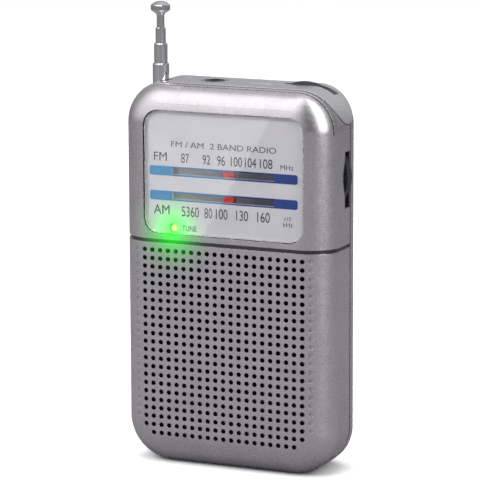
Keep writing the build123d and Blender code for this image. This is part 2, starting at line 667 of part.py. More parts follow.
# ---------------------------------------------------------------- volume control
with BuildPart() as volume_wheel:
    extrude(ribbed_outline(VOLUME_X, VOLUME_Z, 19.8, VOLUME_RADIUS, 120, 0.3), amount=2.9)
    disc(VOLUME_X, VOLUME_Z, 16.5, 17.4, VOLUME_RADIUS - 2.2, Mode.SUBTRACT)
    disc(VOLUME_X, VOLUME_Z, 17.4, 21.6, 2.0)
    disc(VOLUME_X, VOLUME_Z, 16.9, 19.0, 1.02, Mode.SUBTRACT)
finish(volume_wheel, "volume_wheel")

with BuildPart() as volume_screw:
    disc(VOLUME_X, VOLUME_Z, 17.4, 18.8, 1.0)
    disc(VOLUME_X, VOLUME_Z, 16.8, 17.4, 2.0)
    slab(VOLUME_X - 2.5, VOLUME_X + 2.5, 16.5, 17.05, VOLUME_Z - 0.25, VOLUME_Z + 0.25, Mode.SUBTRACT)
finish(volume_screw, "volume_screw")

with BuildPart() as volume_control:
    disc(VOLUME_X, VOLUME_Z, 20.1, BOARD_FRONT, 7.0)
    disc(VOLUME_X, VOLUME_Z, 19, 21.8, 2.0 + RUNNING, Mode.SUBTRACT)
finish(volume_control, "volume_control")

# ---------------------------------------------------------------- earphone socket, lamp, band switch
with BuildPart() as earphone_jack:
    slab(JACK_X - 4.6, JACK_X + 4.6, JACK_DEPTH - 4, JACK_DEPTH + 4, 101.5, 114.8)
    post(JACK_X, JACK_DEPTH, 114.8, HEIGHT + 0.1, 3.0)
    post(JACK_X, JACK_DEPTH, HEIGHT + 0.1 - JACK_LENGTH, HEIGHT + 1, JACK_RADIUS, Mode.SUBTRACT)
finish(earphone_jack, "earphone_jack")

with BuildPart() as jack_ring:
    post(JACK_X, JACK_DEPTH, 115.2, HEIGHT - 0.05, 4.2)
    chamfer(jack_ring.edges().sort_by(Axis.Z)[-1], 0.4)
    post(JACK_X, JACK_DEPTH, 115, HEIGHT + 1, 3.02, Mode.SUBTRACT)
finish(jack_ring, "jack_ring")

with BuildPart() as jack_tags:
    for shift in (-3.2, 0, 3.2):
        slab(JACK_X + shift - 0.6, JACK_X + shift + 0.6, JACK_DEPTH + 4, BOARD_FRONT, 103, 103.5)
finish(jack_tags, "jack_tags")

with BuildPart() as tuning_led:
    disc(LED_X, LED_Z, 4.1, 8.0, 1.5)
    with Locations((LED_X, y_at(4.1), LED_Z)):
        Sphere(1.5)
finish(tuning_led, "tuning_led")

with BuildPart() as led_leads:
    for shift in (-0.7, 0.7):
        disc(LED_X + shift, LED_Z, 8.0, BOARD_FRONT, 0.25)
finish(led_leads, "led_leads")

with BuildPart() as band_switch:
    inner_wall = -HALF + SIDE_WALL
    slab(inner_wall + 0.02, inner_wall + 3.2, 12.6, SEAM, SWITCH_Z - 6.2, SWITCH_Z + 6.2)
    slab(inner_wall, inner_wall + 1.9, 13.8, 15.8, SWITCH_Z - 3.9, SWITCH_Z + 3.9, Mode.SUBTRACT)
finish(band_switch, "band_switch")

with BuildPart() as band_slider:
    knob_z = SWITCH_Z + SWITCH_TRAVEL / 2
    slab(-HALF - 0.2, inner_wall + 1.7, 14.0, 15.6, knob_z - 1.9, knob_z + 1.9)
    slab(-HALF - 1.1, -HALF - 0.15, 13.2, 16.4, knob_z - 2.6, knob_z + 2.6)
    for shift in (-1.6, -0.6, 0.4, 1.4):
        low = knob_z + shift
        slab(-HALF - 2, -HALF - 0.8, 13, 17, low, low + 0.4, Mode.SUBTRACT)
finish(band_slider, "band_slider")

# ---------------------------------------------------------------- circuit board and what stands on it
with BuildPart() as circuit_board:
    with BuildSketch(level(BOARD_BACK)) as board_outline:
        with Locations((0, 77.0)):
            RectangleRounded(57.6, 63.0, 2.5)
        with Locations((0, 43.0)):
            Rectangle(48.0, 7.0)
        for x, z in CASE_SCREWS:
            with Locations((x, z)):
                Circle(3.5, mode=Mode.SUBTRACT)
        for x, z in BOARD_SCREWS:
            with Locations((x, z)):
                Circle(0.92, mode=Mode.SUBTRACT)
    extrude(board_outline.sketch, amount=BOARD_BACK - BOARD_FRONT)
finish(circuit_board, "circuit_board")

with BuildPart() as coil_cans:
    for x in (-18.5, -10.0):
        for z in (79.5, 89.0):
            slab(x - 3.5, x + 3.5, 14.2, BOARD_FRONT, z - 3.5, z + 3.5)
            disc(x, z, 13.0, 14.8, 1.4, Mode.SUBTRACT)
finish(coil_cans, "coil_cans")


def chip(width, height, pins, x, z):
    """A flat integrated circuit with a row of legs above and below."""
    slab(x - width / 2, x + width / 2, 20.2, BOARD_FRONT - 0.15, z - height / 2, z + height / 2)
    for index in range(pins):
        leg_x = x + (index - (pins - 1) / 2) * 1.27
        for side in (-1, 1):
            limits = sorted((z + side * (height / 2 - 0.1), z + side * (height / 2 + 1.0)))
            slab(leg_x - 0.2, leg_x + 0.2, 21.6, BOARD_FRONT, *limits)


with BuildPart() as radio_chip:
    chip(13.0, 5.0, 10, 10.0, 78.5)
finish(radio_chip, "radio_chip")

with BuildPart() as amplifier_chip:
    chip(6.0, 4.0, 4, 0.0, 59.5)
finish(amplifier_chip, "amplifier_chip")

with BuildPart() as electrolytics:
    for x, z, radius in ((-17.0, 48.0, 3.0), (15.5, 50.0, 3.2), (10.0, 57.5, 2.5), (19.0, 58.5, 2.5)):
        disc(x, z, 16.4, BOARD_FRONT, radius)
finish(electrolytics, "electrolytics")

with BuildPart() as ferrite_rod:
    with BuildSketch(Plane.YZ.offset(-19.5)) as rod_end:
        with Locations((y_at(FERRITE_DEPTH), FERRITE_Z)):
            Circle(4.0)
    extrude(rod_end.sketch, amount=46.5)
    chamfer(ferrite_rod.edges(), 0.5)
finish(ferrite_rod, "ferrite_rod")


def rod_sleeve(x0, x1, outer):
    """A ring round the ferrite rod, from x0 to x1."""
    with BuildSketch(Plane.YZ.offset(x0)) as ring:
        with Locations((y_at(FERRITE_DEPTH), FERRITE_Z)):
            Circle(outer)
            Circle(4.0 + EPS, mode=Mode.SUBTRACT)
    extrude(ring.sketch, amount=x1 - x0)


with BuildPart() as antenna_coil:
    rod_sleeve(-9.0, 7.0, 4.7)
    rod_sleeve(-11.0, -9.0, 5.2)
    rod_sleeve(7.0, 9.0, 5.2)
finish(antenna_coil, "antenna_coil")

with BuildPart() as rod_holders:
    for x in (-16.0, 22.5):
        slab(x - 1.5, x + 1.5, FERRITE_DEPTH, BOARD_FRONT, FERRITE_Z - 3.0, FERRITE_Z + 3.0)
        rod_sleeve(x - 1.5, x + 1.5, 5.2)
        with BuildSketch(Plane.YZ.offset(x - 2)) as seat:
            with Locations((y_at(FERRITE_DEPTH), FERRITE_Z)):
                Circle(4.0 + EPS)
        extrude(seat.sketch, amount=4.0, mode=Mode.SUBTRACT)
finish(rod_holders, "rod_holders")

# ---------------------------------------------------------------- loudspeaker
with BuildPart() as speaker_cloth:
    disc(0, SPEAKER_Z, FRONT_WALL, 2.25, SPEAKER_RADIUS)
finish(speaker_cloth, "speaker_cloth")

with BuildPart() as speaker_gasket:
    disc(0, SPEAKER_Z, 2.25, 2.6, SPEAKER_RADIUS)
    disc(0, SPEAKER_Z, 2, 3, 19.6, Mode.SUBTRACT)
finish(speaker_gasket, "speaker_gasket")

with BuildPart() as speaker_frame:
    turned(
        (
            (SPEAKER_RADIUS, 2.6),
            (SPEAKER_RADIUS, 3.6),
            (21.5, 3.6),
            (11.5, 8.6),
            (6.0, 8.6),
            (6.0, 7.6),
            (10.9, 7.6),
            (19.6, 3.3),
            (19.6, 2.6),
        ),
        SPEAKER_Z,
    )
    for turn in range(6):
        window_x = 16.2 * cos(radians(60 * turn + 30))
        window_z = SPEAKER_Z + 16.2 * sin(radians(60 * turn + 30))
        disc(window_x, window_z, 3.7, 9, 3.4, Mode.SUBTRACT)
finish(speaker_frame, "speaker_frame")

with BuildPart() as speaker_cone:
    turned(((19.6, 2.6), (19.6, 2.9), (18.2, 3.1), (5.0, 6.9), (5.0, 6.5), (18.2, 2.75)), SPEAKER_Z)
finish(speaker_cone, "speaker_cone")

with BuildPart() as speaker_dust_cap:
    turned(((0, 5.2), (1.8, 5.35), (3.4, 5.8), (5.0, 6.5), (5.0, 6.9), (3.2, 6.2), (0, 5.6)), SPEAKER_Z)
finish(speaker_dust_cap, "speaker_dust_cap")

with BuildPart() as voice_coil:
    turned(((4.7, 6.9), (5.0, 6.9), (5.0, 11.0), (4.7, 11.0)), SPEAKER_Z)
finish(voice_coil, "voice_coil")

with BuildPart() as speaker_magnet:
    turned(((6.0, 8.6), (MAGNET_RADIUS, 8.6), (MAGNET_RADIUS, 13.2), (6.0, 13.2)), SPEAKER_Z)
finish(speaker_magnet, "speaker_magnet")

with BuildPart() as speaker_yoke:
    turned(((0, 7.8), (4.3, 7.8), (4.3, 13.2), (MAGNET_RADIUS, 13.2), (9.9, 14.4), (0, 14.4)), SPEAKER_Z)
finish(speaker_yoke, "speaker_yoke")

with BuildPart() as speaker_leads:
    for z in (50.0, 51.5):
        disc(-21.8, z, 3.6, BOARD_FRONT, 0.3)
finish(speaker_leads, "speaker_leads")

# ---------------------------------------------------------------- telescopic antenna
with BuildPart() as antenna_bracket:
    slab(-HALF + SIDE_WALL, ANTENNA_X + 4.0, 8.6, 15.4, BRACKET_BOTTOM, BRACKET_TOP)
    post(ANTENNA_X, ANTENNA_DEPTH, 90, 110, TUBE_RADII[0] + 0.06, Mode.SUBTRACT)
finish(antenna_bracket, "antenna_bracket")


def antenna_tube(index):
    """One hollow section: crimped in at its top, and with a slip ring at its foot."""
    outer = TUBE_RADII[index]
    inner = outer - TUBE_WALL
    top = TUBE_TOPS[index]
    low = top - TUBE_LENGTHS[index]
    post(ANTENNA_X, ANTENNA_DEPTH, low, top, outer)
    if index > 0:
        slip = TUBE_RADII[index - 1] - TUBE_WALL - RUNNING
        post(ANTENNA_X, ANTENNA_DEPTH, low, low + 3.0, slip)
    post(ANTENNA_X, ANTENNA_DEPTH, low - 1, top - 1.2, inner, Mode.SUBTRACT)
    post(ANTENNA_X, ANTENNA_DEPTH, low, top + 1, TUBE_RADII[index + 1] + RUNNING, Mode.SUBTRACT)


for number in range(3):
    with BuildPart() as tube:
        antenna_tube(number)
        chamfer(tube.faces().sort_by(Axis.Z)[-1].edges().sort_by(SortBy.LENGTH)[-1], 0.3)
    finish(tube, f"antenna_tube_{number + 1}")

with BuildPart() as antenna_foot:
    foot_top = TUBE_TOPS[0] - TUBE_LENGTHS[0]
    post(ANTENNA_X, ANTENNA_DEPTH, foot_top - 3.0, foot_top, 3.1)
finish(antenna_foot, "antenna_foot")

with BuildPart() as antenna_rod:
    rod_low = TUBE_TOPS[3] - TUBE_LENGTHS[3]
    post(ANTENNA_X, ANTENNA_DEPTH, rod_low, TUBE_TOPS[3], TUBE_RADII[3])
    post(ANTENNA_X, ANTENNA_DEPTH, rod_low, rod_low + 3.0, TUBE_RADII[2] - TUBE_WALL - RUNNING)
finish(antenna_rod, "antenna_rod")

with BuildPart() as antenna_knob:
    knob_base = (ANTENNA_X, y_at(ANTENNA_DEPTH), TUBE_TOPS[3])
    with BuildSketch(Plane(knob_base, x_dir=(1, 0, 0), z_dir=(0, -1, 0))) as knob_half:
        with BuildLine():
            Polyline(
                (0, 0), (1.3, 0), (1.5, 0.4), (2.7, 1.3), (2.95, 1.6), (2.95, 4.2), (0, 4.2), close=True
            )
        make_face()
    revolve(knob_half.sketch, axis=Axis(knob_base, (0, 0, 1)))
    with Locations((ANTENNA_X, y_at(ANTENNA_DEPTH), TUBE_TOPS[3] + 0.2)):
        Sphere(4.0, mode=Mode.INTERSECT)
finish(antenna_knob, "antenna_knob")

# ---------------------------------------------------------------- batteries
CELL_BODY = 49.0
NUB_LENGTH = 1.4
NUB_RADIUS = 2.6
PLATE = 0.4
CELLS = (
    ("battery_upper", UPPER_CELL_Z, 1, UPPER_CONTACT),
    ("battery_lower", LOWER_CELL_Z, -1, LOWER_CONTACT),
)


def bar_along_x(x0, x1, z, radius):
    """A cylinder along X at the battery depth, in the part being built."""
    with BuildSketch(Plane.YZ.offset(min(x0, x1))) as end:
        with Locations((y_at(CELL_DEPTH), z)):
            Circle(radius)
    extrude(end.sketch, amount=abs(x1 - x0))


for label, z, facing, contact in CELLS:
    body_end = facing * (contact - NUB_LENGTH)
    with BuildPart() as cell:
        bar_along_x(body_end - facing * CELL_BODY, body_end, z, CELL_RADIUS)
        chamfer(cell.edges(), 0.5)
        bar_along_x(body_end, facing * contact, z, NUB_RADIUS)
    finish(cell, label)

with BuildPart() as battery_contacts:
    for label, z, facing, contact in CELLS:
        for reach in (facing * contact, -facing * SPRING_CONTACT):
            outer = reach + (PLATE if reach > 0 else -PLATE)
            slab(*sorted((reach, outer)), CELL_DEPTH - 4.5, CELL_DEPTH + 4.5, z - 1.4, z + 4.5)
finish(battery_contacts, "battery_contacts")

# each spring is drawn as a row of rings joined by a bar
with BuildPart() as battery_springs:
    for label, z, facing, contact in CELLS:
        length = SPRING_CONTACT + contact - NUB_LENGTH - CELL_BODY
        end = SPRING_WIRE + SPRING_END_GAP
        step = (length - 2 * end) / (SPRING_TURNS - 1)
        rings = [-facing * (SPRING_CONTACT - end - turn * step) for turn in range(SPRING_TURNS)]
        for turn, ring_x in enumerate(rings):
            with Locations(Location((ring_x, y_at(CELL_DEPTH), z), (0, 90, 0))):
                Torus(SPRING_RADIUS - SPRING_TAPER * turn, SPRING_WIRE)
        smallest = SPRING_RADIUS - SPRING_TAPER * (SPRING_TURNS - 1)
        slab(
            min(rings), max(rings), CELL_DEPTH - SPRING_TIE_HALF, CELL_DEPTH + SPRING_TIE_HALF,
            z + smallest - SPRING_WIRE / 2, z + SPRING_RADIUS,
        )
finish(battery_springs, "battery_springs")

# ---------------------------------------------------------------- screws
with BuildPart() as case_screws:
    for x, z in CASE_SCREWS:
        disc(x, z, 10.8, SCREW_HEAD_DEPTH, 1.0)
        disc(x, z, SCREW_HEAD_DEPTH, 21.0, 2.0)
        slab(x - 1.3, x + 1.3, 20.3, 22, z - 0.25, z + 0.25, Mode.SUBTRACT)
        slab(x - 0.25, x + 0.25, 20.3, 22, z - 1.3, z + 1.3, Mode.SUBTRACT)
finish(case_screws, "case_screws")

with BuildPart() as board_screws:
    for x, z in BOARD_SCREWS:
        disc(x, z, 21.0, BOARD_FRONT, 1.8)
        disc(x, z, BOARD_FRONT, 24.4, 0.9)
        slab(x - 1.2, x + 1.2, 20, 21.5, z - 0.2, z + 0.2, Mode.SUBTRACT)
        slab(x - 0.2, x + 0.2, 20, 21.5, z - 1.2, z + 1.2, Mode.SUBTRACT)
finish(board_screws, "board_screws")
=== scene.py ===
"""Looks of the pocket radio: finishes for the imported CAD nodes, the printed dial, and a small studio."""
import json
from math import pi

import bmesh
import bpy
from mathutils import Matrix, Vector


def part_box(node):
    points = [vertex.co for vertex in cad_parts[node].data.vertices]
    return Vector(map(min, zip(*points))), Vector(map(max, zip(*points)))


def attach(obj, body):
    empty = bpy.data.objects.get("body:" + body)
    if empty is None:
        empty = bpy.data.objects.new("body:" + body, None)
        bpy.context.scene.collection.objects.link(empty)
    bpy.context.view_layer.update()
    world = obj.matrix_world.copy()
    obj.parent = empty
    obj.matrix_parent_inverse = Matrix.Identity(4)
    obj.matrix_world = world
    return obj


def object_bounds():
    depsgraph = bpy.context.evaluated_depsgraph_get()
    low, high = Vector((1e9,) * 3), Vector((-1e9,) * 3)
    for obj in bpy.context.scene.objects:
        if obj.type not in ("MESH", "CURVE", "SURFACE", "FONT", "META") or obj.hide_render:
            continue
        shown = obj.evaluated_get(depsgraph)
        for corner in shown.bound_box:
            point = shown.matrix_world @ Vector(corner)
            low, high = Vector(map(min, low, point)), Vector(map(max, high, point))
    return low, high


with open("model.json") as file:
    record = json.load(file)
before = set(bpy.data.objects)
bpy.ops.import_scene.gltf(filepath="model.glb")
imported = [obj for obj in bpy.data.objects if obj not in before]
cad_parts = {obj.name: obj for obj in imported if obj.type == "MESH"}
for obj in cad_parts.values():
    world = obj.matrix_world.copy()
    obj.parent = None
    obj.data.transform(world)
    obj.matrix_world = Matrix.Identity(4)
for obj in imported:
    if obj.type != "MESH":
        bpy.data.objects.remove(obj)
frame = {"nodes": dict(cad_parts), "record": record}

cad_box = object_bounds()
nodes = frame["nodes"]
scene = bpy.context.scene
MM = 0.001

# ---------------------------------------------------------------- camera
CAMERA_AT = Vector((0.37891, -0.84833, 0.24958))
CAMERA_FORWARD = Vector((-0.40048, 0.89638, -0.19003)).normalized()
CAMERA_UP = Vector((-0.07419, 0.17498, 0.98177)).normalized()
LENS_MM = 232.93
SENSOR_MM = 36.0

camera_data = bpy.data.cameras.new("camera")
camera_data.lens = LENS_MM
camera_data.sensor_width = SENSOR_MM
camera_data.clip_start = 0.01
camera = bpy.data.objects.new("camera", camera_data)
right = CAMERA_FORWARD.cross(CAMERA_UP).normalized()
up = right.cross(CAMERA_FORWARD)
camera_axes = Matrix((right, up, -CAMERA_FORWARD)).transposed()
camera.matrix_world = Matrix.Translation(CAMERA_AT) @ camera_axes.to_4x4()
scene.collection.objects.link(camera)
scene.camera = camera
scene.view_settings.view_transform = "Standard"


# ---------------------------------------------------------------- node helpers
class Finish:
    """One node-based material, with short calls for the nodes that the finishes share."""

    def __init__(self, name):
        self.material = bpy.data.materials.new(name)
        self.material.use_nodes = True
        self.tree = self.material.node_tree
        self.shader = self.tree.nodes["Principled BSDF"]
        self.place = self.add("ShaderNodeTexCoord").outputs["Object"]
        self.normal = None

    def add(self, kind, **values):
        node = self.tree.nodes.new(kind)
        for key, value in values.items():
            setattr(node, key, value)
        return node

    def link(self, source, target):
        self.tree.links.new(source, target)

    def set(self, **values):
        """Sets shader sockets: keys are socket names with _ for a space."""
        for key, value in values.items():
            self.shader.inputs[key.replace("_", " ")].default_value = value
        return self

    def scaled(self, stretch):
        mapping = self.add("ShaderNodeMapping")
        mapping.inputs["Scale"].default_value = stretch
        self.link(self.place, mapping.inputs["Vector"])
        return mapping.outputs["Vector"]

    def noise(self, size_mm, detail=2.0, stretch=(1, 1, 1)):
        """Fractal noise with features about size_mm across."""
        node = self.add("ShaderNodeTexNoise")
        node.inputs["Scale"].default_value = 1 / (size_mm * MM)
        node.inputs["Detail"].default_value = detail
        self.link(self.scaled(stretch), node.inputs["Vector"])
        return node.outputs["Fac"]

    def cells(self, size_mm):
        """Random grey cells, as metal flakes in paint."""
        node = self.add("ShaderNodeTexVoronoi")
        node.inputs["Scale"].default_value = 1 / (size_mm * MM)
        self.link(self.place, node.inputs["Vector"])
        return node.outputs["Color"]

    def waves(self, size_mm, direction, bend=0.0):
        node = self.add("ShaderNodeTexWave", bands_direction=direction)
        node.inputs["Scale"].default_value = 0.314 / (size_mm * MM)
        node.inputs["Distortion"].default_value = bend
        self.link(self.place, node.inputs["Vector"])
        return node.outputs["Fac"]

    def math(self, kind, a, b=0.5, clamp=False):
        node = self.add("ShaderNodeMath", operation=kind, use_clamp=clamp)
        for socket, value in zip(node.inputs, (a, b)):
            if isinstance(value, (int, float)):
                socket.default_value = value
            else:
                self.link(value, socket)
        return node.outputs[0]

    def spread(self, value, low, high, start=0.3, end=0.7):
        """Maps a noise value to a range."""
        node = self.add("ShaderNodeMapRange")
        self.link(value, node.inputs["Value"])
        for key, number in (("From Min", start), ("From Max", end), ("To Min", low), ("To Max", high)):
            node.inputs[key].default_value = number
        return node.outputs["Result"]

    def mix(self, factor, a, b):
        """A colour between a and b, each a colour or a socket."""
        node = self.add("ShaderNodeMix", data_type="RGBA")
        self.link(factor, node.inputs[0])
        for socket, value in ((node.inputs[6], a), (node.inputs[7], b)):
            if isinstance(value, tuple):
                socket.default_value = (*value, 1.0)
            else:
                self.link(value, socket)
        return node.outputs[2]

    def colour(self, socket):
        self.link(socket, self.shader.inputs["Base Color"])
        return self

    def rough(self, socket):
        self.link(socket, self.shader.inputs["Roughness"])
        return self

    def bump(self, height, depth_mm, strength=1.0):
        """Adds relief on top of what the normal already has."""
        node = self.add("ShaderNodeBump")
        node.inputs["Strength"].default_value = strength
        node.inputs["Distance"].default_value = depth_mm * MM
        self.link(height, node.inputs["Height"])
        if self.normal is not None:
            self.link(self.normal, node.inputs["Normal"])
        self.normal = node.outputs["Normal"]
        self.link(self.normal, self.shader.inputs["Normal"])
        return self

    def soft_edges(self, radius_mm):
        """Rounds crisp edges in the shading."""
        node = self.add("ShaderNodeBevel", samples=4)
        node.inputs["Radius"].default_value = radius_mm * MM
        self.normal = node.outputs["Normal"]
        self.link(self.normal, self.shader.inputs["Normal"])
        return self

    def within(self, value, low, high):
        """1 where a value lies between two limits, otherwise 0."""
        above = self.math("GREATER_THAN", value, low)
        return self.math("MULTIPLY", above, self.math("LESS_THAN", value, high))

    def split(self, vector):
        parts = self.add("ShaderNodeSeparateXYZ")
        self.link(vector, parts.inputs[0])
        return parts.outputs

    def near(self, point, radius, power):
        """1 at a point of the frame, falling to 0 at a radius, in metres."""
        offset = self.add("ShaderNodeVectorMath", operation="DISTANCE")
        self.link(self.place, offset.inputs[0])
        offset.inputs[1].default_value = point
        fall = self.spread(offset.outputs["Value"], 1.0, 0.0, 0.0, radius)
        return self.math("POWER", fall, power)


LED_GLOW = (0.0, 1.0, 0.01)
led_low, led_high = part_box("tuning_led")
LED_AT = Vector(((led_low.x + led_high.x) / 2, cad_box[0][1], (led_low.z + led_high.z) / 2))


def add_glow(finish, strength, radius):
    """Painted light: the tuning lamp's green glow, painted as emission on the surface round it."""
    fall = finish.near(LED_AT, radius, 3.2)
    colour = finish.mix(fall, (0.0, 0.0, 0.0), LED_GLOW)
    finish.link(colour, finish.shader.inputs["Emission Color"])
    finish.set(Emission_Strength=strength)
    return finish


# ---------------------------------------------------------------- finishes
WAIST_LOW, WAIST_HIGH = 69.6 * MM, 70.8 * MM
SEAM_FRONT, SEAM_BACK = 16.65 * MM, 17.35 * MM
BROW_FRONT, BROW_BACK, BROW_BOTTOM = 5.5 * MM, 6.0 * MM, 105.0 * MM
GRILLE_HALF = 27.8 * MM
GRILLE_LOW, GRILLE_HIGH = 8.5 * MM, 69.2 * MM
WINDOW_HALF = 26.5 * MM
WINDOW_LOW, WINDOW_HIGH = 72.2 * MM, 110.6 * MM
HOLE_REACH = 3.2 * MM


def hole_wall_shade(finish):
    """1 on the walls of the speaker holes and of the window, where shade is painted, otherwise 0."""
    place = finish.split(finish.place)
    facing = finish.split(finish.add("ShaderNodeNewGeometry").outputs["True Normal"])["Y"]
    front = cad_box[0][1]
    zones = []
    for half, low, high in ((GRILLE_HALF, GRILLE_LOW, GRILLE_HIGH), (WINDOW_HALF, WINDOW_LOW, WINDOW_HIGH)):
        across = finish.within(place["X"], -half, half)
        zones.append(finish.math("MULTIPLY", across, finish.within(place["Z"], low, high)))
    mask = finish.math("MAXIMUM", *zones)
    mask = finish.math("MULTIPLY", mask, finish.within(place["Y"], front, front + HOLE_REACH))
    return finish.math("MULTIPLY", mask, finish.math("GREATER_THAN", facing, -0.5))


def grooves(finish):
    """1 inside the three fine grooves cut round the case, where shade is painted, otherwise 0."""
    place = finish.split(finish.place)
    depth = finish.math("SUBTRACT", place["Y"], cad_box[0][1])
    waist = finish.within(place["Z"], WAIST_LOW, WAIST_HIGH)
    waist = finish.math("MULTIPLY", waist, finish.math("LESS_THAN", depth, SEAM_FRONT))
    brow = finish.within(depth, BROW_FRONT, BROW_BACK)
    brow = finish.math("MULTIPLY", brow, finish.math("GREATER_THAN", place["Z"], BROW_BOTTOM))
    seam = finish.within(depth, SEAM_FRONT, SEAM_BACK)
    return finish.math("MAXIMUM", finish.math("MAXIMUM", waist, brow), seam)


def metallic_paint(name, light, dark, glow=0.0, flake=0.16):
    finish = Finish(name)
    finish.soft_edges(0.14)
    tone = finish.spread(finish.noise(6.0, 3.0), 0.0, 0.35)
    specks = finish.spread(finish.cells(flake), 0.0, 0.35, 0.1, 0.9)
    both = finish.math("ADD", tone, specks, clamp=True)
    colour = finish.mix(both, light, dark)
    if glow:
        # painted light: the case colour turns green near the tuning lamp
        colour = finish.mix(finish.near(LED_AT, 0.012, 1.6), colour, (0.03, 0.6, 0.06))
        # painted shade: the grooves and the shell seam darkened to near black
        colour = finish.mix(finish.math("MULTIPLY", grooves(finish), 0.9), colour, (0.03, 0.03, 0.035))
        # painted shade: the walls of the speaker holes and the window darkened to near black
        colour = finish.mix(hole_wall_shade(finish), colour, (0.012, 0.012, 0.014))
    finish.colour(colour)
    finish.rough(finish.spread(finish.noise(1.4, 3.0), 0.24, 0.31))
    finish.bump(finish.noise(0.22, 3.0), 0.002, 0.3)
    finish.bump(finish.noise(2.2, 2.0), 0.004, 0.15)
    finish.set(Metallic=0.92, Coat_Weight=0.12, Coat_Roughness=0.2)
    if glow:
        # painted light: green emission on the case round the tuning lamp
        add_glow(finish, glow, 0.017)
    return finish.material


def moulded(name, light, dark, low=0.35, high=0.5, grain=0.35, depth=0.01, edge=0.08):
    """Plastic, rubber, plated steel and the like: mottled colour, uneven gloss and a fine grain."""
    finish = Finish(name)
    if edge:
        finish.soft_edges(edge)
    finish.colour(finish.mix(finish.spread(finish.noise(grain * 9, 4.0), 0.0, 1.0), light, dark))
    finish.rough(finish.spread(finish.noise(grain * 3, 3.0), low, high))
    finish.bump(finish.noise(grain, 3.0), depth, 0.6)
    return finish.material


def brushed(name, light, dark, low, high, stretch, depth=0.004, grain=0.25):
    """Metal with drawn or turned lines along one direction."""
    finish = Finish(name)
    lines = finish.noise(grain, 3.0, stretch)
    finish.colour(finish.mix(finish.spread(lines, 0.0, 1.0), light, dark))
    finish.rough(finish.spread(finish.noise(grain * 3, 3.0), low, high))
    finish.bump(lines, depth, 0.4)
    finish.set(Metallic=1.0)
    return finish.material


def wound(name, light, dark, pitch, direction):
    """Turns of wire or a ribbed surface."""
    finish = Finish(name)
    turns = finish.waves(pitch, direction)
    # painted shade: the colour is darker in the hollows between turns
    finish.colour(finish.mix(turns, dark, light))
    finish.rough(finish.spread(finish.noise(0.6), 0.25, 0.4))
    finish.bump(turns, pitch * 0.4, 0.8)
    finish.set(Metallic=0.9)
    return finish.material


def cloth(name, light, dark, pitch):
    finish = Finish(name)
    weave = finish.math("MULTIPLY", finish.waves(pitch, "X"), finish.waves(pitch, "Z"))
    finish.colour(finish.mix(weave, dark, light))
    finish.rough(finish.spread(finish.noise(0.5), 0.75, 0.95))
    finish.bump(weave, pitch * 0.5, 0.8)
    return finish.material


def clear_lens():
    finish = Finish("clear_lens")
    finish.rough(finish.spread(finish.noise(9.0, 3.0), 0.0, 0.03))
    haze = finish.noise(4.0, 3.0)
    finish.colour(finish.mix(haze, (0.995, 0.995, 1.0), (0.975, 0.98, 0.985)))
    finish.set(Transmission_Weight=1.0, IOR=1.3)
    return finish.material


def dial_silver():
    finish = Finish("dial_silver")
    sparkle = finish.spread(finish.cells(0.12), 0.0, 0.5, 0.1, 0.9)
    tone = finish.spread(finish.noise(12.0, 3.0), 0.0, 0.5)
    base = finish.mix(finish.math("ADD", sparkle, tone, clamp=True), (0.66, 0.65, 0.675), (0.58, 0.57, 0.60))
    # painted light: the plate colour turns green near the tuning lamp
    finish.colour(finish.mix(finish.near(LED_AT, 0.010, 1.2), base, (0.03, 0.75, 0.05)))
    finish.rough(finish.spread(finish.noise(0.8), 0.4, 0.55))
    finish.bump(finish.noise(0.2, 3.0), 0.003, 0.4)
    finish.set(Metallic=0.15)
    # painted light: green emission on the plate round the tuning lamp
    return add_glow(finish, 1.3, 0.016).material


def dial_blue(name, light, dark):
    """Printed bars with a painted reflection: the blue is paler at the left, where the lens glare falls, and
    deepens past the middle, with faint mottling.
    """
    finish = Finish(name)
    # painted reflection: paler blue at the left, following the lens glare
    across = finish.spread(finish.split(finish.place)["X"], 0.0, 1.0, -0.001, 0.006)
    mottle = finish.spread(finish.noise(1.5, 4.0), -0.06, 0.06)
    finish.colour(finish.mix(finish.math("ADD", across, mottle, clamp=True), light, dark))
    finish.rough(finish.spread(finish.noise(0.5), 0.3, 0.45))
    finish.bump(finish.noise(0.15, 3.0), 0.003, 0.4)
    return finish.material


def slot_backing():
    """Dull grey card behind the slots, with a painted reflection that makes it paler at the left, where the
    lens glare falls.
    """
    finish = Finish("dial_backing")
    # painted reflection: paler grey at the left, following the lens glare
    across = finish.spread(finish.split(finish.place)["X"], 0.0, 1.0, -0.014, 0.010)
    finish.colour(finish.mix(across, (0.42, 0.44, 0.46), (0.10, 0.10, 0.13)))
    finish.rough(finish.spread(finish.noise(0.8, 3.0), 0.5, 0.7))
    finish.bump(finish.noise(0.35, 3.0), 0.01, 0.6)
    return finish.material


def lamp():
    finish = Finish("green_lamp")
    core = finish.near(LED_AT + Vector((0.0, 0.003, 0.0)), 0.0019, 2.0)
    finish.colour(finish.mix(core, (0.05, 0.75, 0.1), (0.6, 1.0, 0.3)))
    finish.link(finish.mix(core, (0.0, 1.0, 0.02), (0.75, 1.0, 0.1)), finish.shader.inputs["Emission Color"])
    finish.rough(finish.spread(finish.noise(0.6), 0.15, 0.3))
    finish.set(Emission_Strength=2.2)
    return finish.material


def cell_jacket():
    """Battery sleeve: coloured body, a band near one end and fine print-like wear."""
    finish = Finish("cell_jacket")
    split = finish.add("ShaderNodeSeparateXYZ")
    finish.link(finish.place, split.inputs[0])
    along = finish.spread(split.outputs["X"], 0.0, 1.0, -0.0135, -0.0130)
    body = finish.mix(along, (0.75, 0.42, 0.08), (0.03, 0.03, 0.035))
    worn = finish.spread(finish.noise(1.2, 4.0), 0.0, 0.3)
    finish.colour(finish.mix(worn, body, (0.35, 0.34, 0.33)))
    finish.rough(finish.spread(finish.noise(0.8, 3.0), 0.22, 0.4))
    finish.bump(finish.noise(0.6, 3.0), 0.006, 0.5)
    finish.set(Metallic=0.45)
    return finish.material


